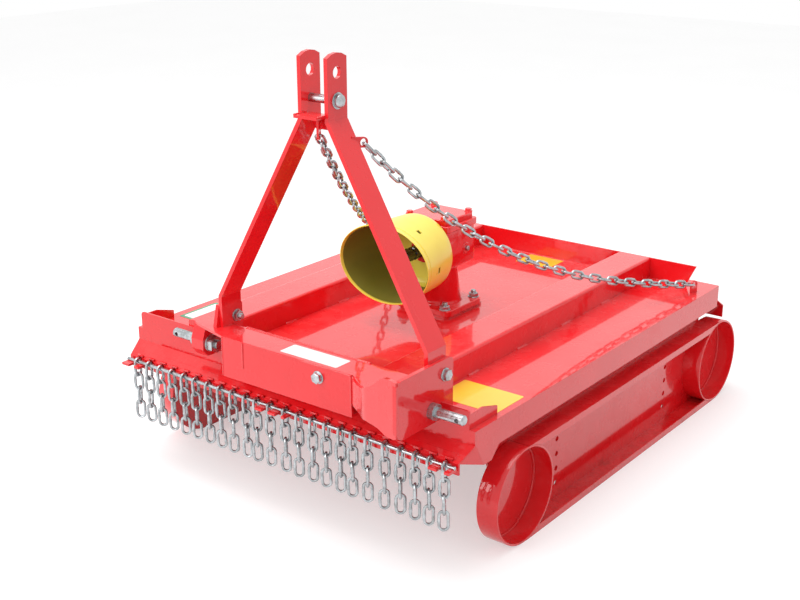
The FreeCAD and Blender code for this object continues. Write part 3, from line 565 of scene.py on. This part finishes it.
# Skid rings: rolled drums with a disc, a seam and a weld round the disc
RING_RADIUS, RING_INNER = 116.0, 111.0
DISC_IN, DISC_OUT, RING_OUT = 476.0, 480.0, 530.0
RING_PROFILE = (
    (DISC_IN, 0.5), (DISC_IN, RING_RADIUS - 1), (DISC_IN + 1, RING_RADIUS),
    (RING_OUT - 1.2, RING_RADIUS), (RING_OUT - 0.3, RING_RADIUS - 0.5), (RING_OUT, RING_RADIUS - 1.5),
    (RING_OUT, RING_INNER + 1.2), (RING_OUT - 1, RING_INNER), (DISC_OUT + 1, RING_INNER),
    (DISC_OUT, RING_INNER - 1), (DISC_OUT, 0.5))
for side, sign in (("right", 1), ("left", -1)):
    for place, y, seam_angle in (("front", -390.0, 200), ("rear", 605.0, 215)):
        ring = bmesh.new()
        revolve(ring, Vector((0, y, RING_RADIUS)), X * sign, RING_PROFILE, 96, False)
        bead_x = sign * (DISC_OUT + 1.5)
        weld(ring, [polar(bead_x, RING_INNER - 1.5, a, y, RING_RADIUS) for a in angles(60)], 3.2, True)
        weld(ring, [polar(sign * x, RING_INNER - 0.2, math.radians(seam_angle), y, RING_RADIUS)
                    for x in (DISC_OUT + 2, RING_OUT - 3)], 2.2)
        finish(f"ring_{place}_{side}", ring, "deck", RED, (f"skid_ring_{place}_{side}",))

# Drive shaft guard: moulded oval cone with a collar and slots, and a dark olive sheet inside as painted
# shade. GUARD_PROFILE is (behind the mouth, outwards) pairs; GUARD_SLOTS is (from, to, first side, end
# side).
PTO_Z = 505.0
GUARD_FRONT, GUARD_REAR = -224.0, -60.0
GUARD_HALF_FRONT, GUARD_HALF_REAR, GUARD_HALF_HEIGHT = 138.0, 101.0, 99.0
GUARD_SIDES = 120
SHADE_LINING_GAP = 4.4
GUARD_PROFILE = (
    (0, -1.5), (0.8, 0.4), (3, 1.2), (6, 0.2), (12, 0.6), (14, 0.4), (15, -2.0), (17, -2.0),
    (18.5, 0.2), (30, -0.4), (40, -0.4), (51, -0.4), (54, -0.4), (62, -0.3), (72, -0.3), (76, -0.2),
    (92, 0), (108, 0), (122, 0), (134, 0), (145, -1), (153, -4), (159, -9), (162.5, -16),
    (163.5, -28), (163.5, -66))
GUARD_SLOTS = ((51, 62, 18, 20), (62, 72, 117, 120), (51, 54, 117, 118), (30, 40, 58, 60))


def guard_ring(s, grow):
    """oval round the stub, s behind the mouth of the guard"""
    half = GUARD_HALF_FRONT + (GUARD_HALF_REAR - GUARD_HALF_FRONT) * s / (GUARD_REAR - GUARD_FRONT)
    return [Vector(((half + grow) * math.cos(a), GUARD_FRONT + s,
                    PTO_Z + (GUARD_HALF_HEIGHT + grow) * math.sin(a))) for a in angles(GUARD_SIDES)]


guard = bmesh.new()
rows = [[guard.verts.new(point) for point in guard_ring(s, grow)] for s, grow in GUARD_PROFILE]
for (s, _), a, b in zip(GUARD_PROFILE, rows, rows[1:]):
    for k in range(GUARD_SIDES):
        after = (k + 1) % GUARD_SIDES
        if not any(start <= s < end and first <= k < last for start, end, first, last in GUARD_SLOTS):
            guard.faces.new((a[k], a[after], b[after], b[k]))
thicken(guard, 2.6)
finish("guard_shell", guard, "deck", YELLOW, ("pto_guard",))
# dark sheet just inside the shell: painted shade in the guard's hollow
shade_lining = bmesh.new()
skin_rings(shade_lining, [guard_ring(s, -SHADE_LINING_GAP) for s in (6, 30, 60, 90, 120, 150)])
thicken(shade_lining, 0.4)
finish("guard_shade_lining", shade_lining, "deck", GUARD_PAINTED_SHADE)

# Splined stub of the drive: (behind its tip, share of the full radius) pairs
STUB_PROFILE = (
    (0, 0.88), (2, 1.0), (26, 1.0), (27.5, 0.80), (34, 0.80), (35.5, 1.0), (72, 1.0), (78, 0.84),
    (82, 0.84))
STUB_TIP, STUB_RADIUS, SPLINE_FLOOR = -142.0, 17.4, 14.9
SPLINES, SPLINE_STEPS = 6, 12
SEAL_Y = -62.0
stub = bmesh.new()
rings = []
for s, share in STUB_PROFILE:
    ring = []
    for k, a in enumerate(angles(SPLINES * SPLINE_STEPS)):
        crest = k % SPLINE_STEPS < SPLINE_STEPS / 2
        radius = (STUB_RADIUS if crest else SPLINE_FLOOR) if share > 0.85 else STUB_RADIUS * share
        ring.append(Vector((radius * math.cos(a), STUB_TIP + s, PTO_Z + radius * math.sin(a))))
    rings.append(ring)
skin_rings(stub, rings, False, True)
revolve(stub, Vector((0, SEAL_Y, PTO_Z)), Y, [(0, 18), (1.5, 20), (60.5, 20), (62, 18)], 40, False)
finish("splined_stub", stub, "pto", BLACK_STEEL, ("pto_shaft",), 30)

# Gearbox: foot plate, cast body on a flanged neck with its seal rim and plug boss, and lid
DECK_TOP = 332.0
BOX_Y, FOOT_TOP, FLANGE_TOP, BODY_TOP, LID_TOP = 8.5, 340.0, 356.0, 573.5, 588.0
PLUG = Vector((66, 32, 500))
NECK = ((0, 62), (4, 62), (8, 59.5), (16, 58), (50, 53.5), (100, 47.5), (106, 48), (110, 52))
body = bmesh.new()
stack(body, 0, BOX_Y, 86, 78, 16, [(FOOT_TOP, 1.5), (341.5, 0), (354, 0), (FLANGE_TOP, 2)])
revolve(body, Vector((0, BOX_Y, 352)), Z, NECK, 48, False)
stack(body, 0, 14, 68, 64, 12, [(450, 14), (452, 12), (462, 1), (464, 0), (500, 0), (556, 0.5)])
stack(body, 0, BOX_Y + 3, 74, 67, 12, [(556, 3), (559, 0), (572, 0), (BODY_TOP, 1.5)])
revolve(body, Vector((0, SEAL_Y, PTO_Z)), Y, [(0, 21), (0, 46), (2, 48), (13, 50), (13, 21)], 48)
revolve(body, PLUG, X, [(0, 15), (2.5, 14.5), (4, 13), (4, 3)], 28)
finish("gearbox_body", body, "deck", RED, ("gearbox_housing",))
lid = bmesh.new()
stack(lid, 0, BOX_Y, 66, 61, 10, [(BODY_TOP, 0.5), (574.5, 0), (586, 0), (LID_TOP, 2)])
finish("gearbox_lid", lid, "deck", RED, ("gearbox_cover",))
foot = bmesh.new()
stack(foot, 0, BOX_Y + 10, 78, 82, 12, [(DECK_TOP, 0), (339, 0), (FOOT_TOP, 1)])
finish("gearbox_foot", foot, "deck", RED, ("gearbox_base",))

# Right hitch ear: plate, bent front flange with its relief beside the beam, and shelf. EAR_SIDE
# is (y, z) pairs; FLANGE_PATH is x, y, top and bottom along the bend.
EAR_INSIDE, EAR_THICK, FLANGE_THICK, SHELF_BOTTOM, BEAM_TOP = 417.5, 10.0, 8.0, 410.0, 416.0
EAR_OUTSIDE = EAR_INSIDE + EAR_THICK
EAR_SIDE = (
    (-528, DECK_TOP), (-528, 456), (-531.5, 464.5), (-540, 468), (-706, 468), (-716, 464), (-721, 458),
    (-721, 356), (-717, 348), (-708, 341), (-698, 338), (-570, 338), (-570, 376), (-566, 376),
    (-566, DECK_TOP))
FLANGE_PATH = (
    (427.5, -715, 468, 348), (425, -720.5, 468, 346), (419, -719, 468, 343.5), (411, -716.5, 468, 342),
    (389, -710.5, 467, 341), (380, -708, 463, 344), (372, -706, 457, 347), (364, -703.7, 451, 348.5),
    (351, -700.1, 439.5, 349.5), (328, -693.9, 425.5, 350), (317.5, -691, 420, 350),
    (311, -687.5, 416.5, 350), (300, -679.5, 413, 350), (287, -671, 410.5, 350),
    (276, -663.7, 409.5, 350), (266, -657.2, 409.5, 350), (258, -651.9, 409.5, 350),
    (251, -647.3, 411, 352), (247.5, -645, 413, 356))
SHELF = ((247.5, -570), (247.5, -641), (317.5, -684), (EAR_INSIDE, -712), (EAR_INSIDE, -570))
ear = bmesh.new()
plate(ear, [Vector((EAR_INSIDE, y, z)) for y, z in EAR_SIDE], X * EAR_THICK)
flange = []
for k, (x, y, top, low) in enumerate(FLANGE_PATH):
    before = FLANGE_PATH[max(k - 1, 0)]
    after = FLANGE_PATH[min(k + 1, len(FLANGE_PATH) - 1)]
    along = Vector((after[0] - before[0], after[1] - before[1], 0)).normalized()
    inward = Vector((along.y, -along.x, 0)) * FLANGE_THICK
    outer_low, outer_top = Vector((x, y, low)), Vector((x, y, top))
    flange.append([outer_low, outer_top, outer_top + inward, outer_low + inward])
skin_rings(ear, flange, False, True)
plate(ear, [Vector((x, y, SHELF_BOTTOM)) for x, y in SHELF], Z * (BEAM_TOP - SHELF_BOTTOM))
finish("ear_right", ear, "deck", RED, ("hitch_ear_right",))

# Bolts, nuts and washers: gearbox flange, beam, feet of the mast bars, lower link pins, and the
# top link pin with its end and its ring clip
STUD = 8
MAST_BOLT_Y, MAST_BOLT_Z = -557, 434
PIN_Y, PIN_Z = -603, 368
TOP_PIN_Y, TOP_PIN_Z = -531, 966
CLIP_X, CLIP_Z, CLIP_RADIUS = 36, 960, 15
plain = bmesh.new()
for x, y in ((66, -56), (66, 73), (-66, -56), (-66, 73)):
    bolt(plain, Vector((x, y, FLANGE_TOP)), Z, STUD, rng.uniform(0, 1))
bolt(plain, Vector((155, -645, 388)), -Y, 0, 0.3)
for head, nut, side in ((EAR_OUTSIDE, 407.5, 1), (-194, -174, -1)):
    bolt(plain, Vector((head, MAST_BOLT_Y, MAST_BOLT_Z)), X * side, 0, 0.2)
    bolt(plain, Vector((nut, MAST_BOLT_Y, MAST_BOLT_Z)), -X * side, STUD, 0.5)
for x, side in ((EAR_INSIDE, -1), (-217.5, 1)):
    washer(plain, Vector((x, PIN_Y, PIN_Z)), X * side, 11.2, 21, 3)
washer(plain, Vector((128, TOP_PIN_Y, TOP_PIN_Z)), X, 9.6, 18, 2)
pin_end = [(0, 14.2), (2, 13.4), (4, 10.5), (5.2, 5), (5.5, 0.3)]
revolve(plain, Vector((136, TOP_PIN_Y, TOP_PIN_Z)), X, pin_end, 32, False)
clip = [polar(CLIP_X + 7 * math.sin(2 * a), CLIP_RADIUS, a, TOP_PIN_Y, CLIP_Z) for a in angles(28)]
tube(plain, clip, 1.9, True)
hex_head(plain, PLUG + X * 4, X, 12, 7, 0.2)
finish("plain_bolts", plain, "deck", ZINC)

painted = bmesh.new()
for x, y in ((-54, -45), (-54, 62), (54, -45), (54, 62)):
    washer(painted, Vector((x, y, LID_TOP)), Z, 4, 11, 1.5)
    hex_head(painted, Vector((x, y, LID_TOP + 1.5)), Z, 15, 7, rng.uniform(0, 1))
finish("painted_bolts", painted, "deck", RED)

# Weld beads: short ones along both edges of each rib, then single ones as (radius, points): rear
# wall, right ear, beam ends, beam top, and the two plates of the mast's head
RIB_EDGES = (230, 331, -230, -331)
RIB_FRONT, RIB_REAR = -566, 555
STITCHES, STITCH_LENGTH = 6, 42
BEADS = (
    (3.0, ((-440, RIB_REAR, DECK_TOP), (440, RIB_REAR, DECK_TOP))),
    (3.0, ((EAR_OUTSIDE, -566, 341), (EAR_OUTSIDE, -566, 374))),
    (3.4, ((EAR_OUTSIDE, -564, DECK_TOP), (EAR_OUTSIDE, -530, DECK_TOP))),
    (3.4, ((EAR_INSIDE, -564, DECK_TOP), (EAR_INSIDE, -530, DECK_TOP))),
    (2.6, ((-72, -645, 352), (-71, -645, 414))),
    (2.6, ((-137, -644, 320), (-137, -644, 414))),
    (2.6, ((247.5, -646, 340), (247.5, -646, 414))),
    (3.0, ((-130, -570, BEAM_TOP), (240, -570, BEAM_TOP))),
    (2.6, ((54, -586, 937), (54, -545, 937), (54, -520, 905))),
    (2.6, ((118, -586, 937), (118, -545, 937), (118, -520, 905))))
beads = bmesh.new()
for x in RIB_EDGES:
    for k in range(STITCHES):
        start = RIB_FRONT + 30 + (RIB_REAR - RIB_FRONT - 100) * k / (STITCHES - 1)
        stitch = [Vector((x, start, DECK_TOP)), Vector((x, start + STITCH_LENGTH, DECK_TOP))]
        weld(beads, stitch, 3.0)
for radius, points in BEADS:
    weld(beads, [Vector(point) for point in points], radius)
tube(beads, [Vector((x, -644.4, 414.6)) for x in (-70, 90, 246)], 1.6)
finish("weld_beads", beads, "deck", RED)

# Blank labels
label("label_deck_right", (418, -413, DECK_TOP), (79, 0, 0), (0, 57, 0), LABEL_YELLOW)
label("label_deck_left_border", (-394, -388, DECK_TOP), (96, 0, 0), (0, 66, 0), LABEL_GREEN)
label("label_deck_left", (-394, -388, DECK_TOP + 0.3), (88, 0, 0), (0, 57, 0), LABEL_WHITE)
label("label_beam", (115, -609, BEAM_TOP), (82, 0, 0), (0, 25, 0), LABEL_WHITE)
label("label_rear", (2, 508, DECK_TOP), (57, 0, 0), (0, 42, 0), LABEL_YELLOW)

# Floor, light and camera
floor_mesh = bmesh.new()
bmesh.ops.create_grid(floor_mesh, x_segments=1, y_segments=1, size=9)
floor_data = bpy.data.meshes.new("floor")
floor_mesh.to_mesh(floor_data)
floor_mesh.free()
floor_material, tree, shader = new_material("floor")
patches = use(tree, BLOTCHES, Scale=2.0, Low=0.3, High=0.8)
floor_color = mix_color(tree, patches, (0.62, 0.62, 0.62, 1), (0.60, 0.60, 0.60, 1))
tree.links.new(floor_color, shader.inputs["Base Color"])
glow = maths(tree, "MULTIPLY", seen_directly(tree), 0.46)
tree.links.new(glow, shader.inputs["Emission Strength"])
shader.inputs["Emission Color"].default_value = (1, 1, 1, 1)
shader.inputs["Roughness"].default_value = 0.9
shader.inputs["Specular IOR Level"].default_value = 0.1
floor_data.materials.append(floor_material)
floor = put_in_scene("floor", floor_data)

world = bpy.data.worlds.new("studio")
bpy.context.scene.world = world
world.use_nodes = True
sky = world.node_tree
sky.nodes.clear()
lighting = add(sky, "Background", None, {"Color": (1, 1, 1, 1), "Strength": 0.8})
backdrop = add(sky, "Background", None, {"Color": (1, 1, 1, 1), "Strength": 1.0})
blended = add(sky, "MixShader", None,
              {0: seen_directly(sky), 1: lighting.outputs[0], 2: backdrop.outputs[0]})
sky.links.new(blended.outputs[0], add(sky, "OutputWorld").inputs["Surface"])


def soft_light(name, spot, target, size, watts):
    """square lamp that faces target"""
    data = bpy.data.lights.new(name, "AREA")
    data.shape = "SQUARE"
    data.size = size
    data.energy = watts
    lamp = put_in_scene(name, data)
    lamp.location = spot
    lamp.rotation_euler = (Vector(target) - Vector(spot)).to_track_quat("-Z", "Y").to_euler()


soft_light("light_top", (-0.6, -0.4, 3.6), (0, 0, 0.3), 3.0, 85)
soft_light("light_front", (-1.2, -3.6, 2.0), (0, 0, 0.3), 2.2, 60)

# Camera of the photo, as fitted: place in metres, and yaw, pitch and tilt in degrees
CAMERA_SPOT, CAMERA_LENS, SENSOR_WIDTH = (1.8269, -2.5141, 1.4349), 56.57, 36.0
CAMERA_ANGLES = (37.773, 19.207, -0.231)
camera_data = bpy.data.cameras.new("camera")
camera_data.lens = CAMERA_LENS
camera_data.sensor_width = SENSOR_WIDTH
camera = put_in_scene("camera", camera_data)
yaw, pitch, tilt = (math.radians(angle) for angle in CAMERA_ANGLES)
forward = Vector((-math.sin(yaw) * math.cos(pitch), math.cos(yaw) * math.cos(pitch), -math.sin(pitch)))
level_right = Vector((math.cos(yaw), math.sin(yaw), 0))
level_up = level_right.cross(forward)
right = level_right * math.cos(tilt) + level_up * math.sin(tilt)
axes = Matrix((right, right.cross(forward), -forward)).transposed().to_4x4()
camera.matrix_world = Matrix.Translation(CAMERA_SPOT) @ axes
bpy.context.scene.camera = camera
bpy.context.scene.view_settings.view_transform = "Standard"
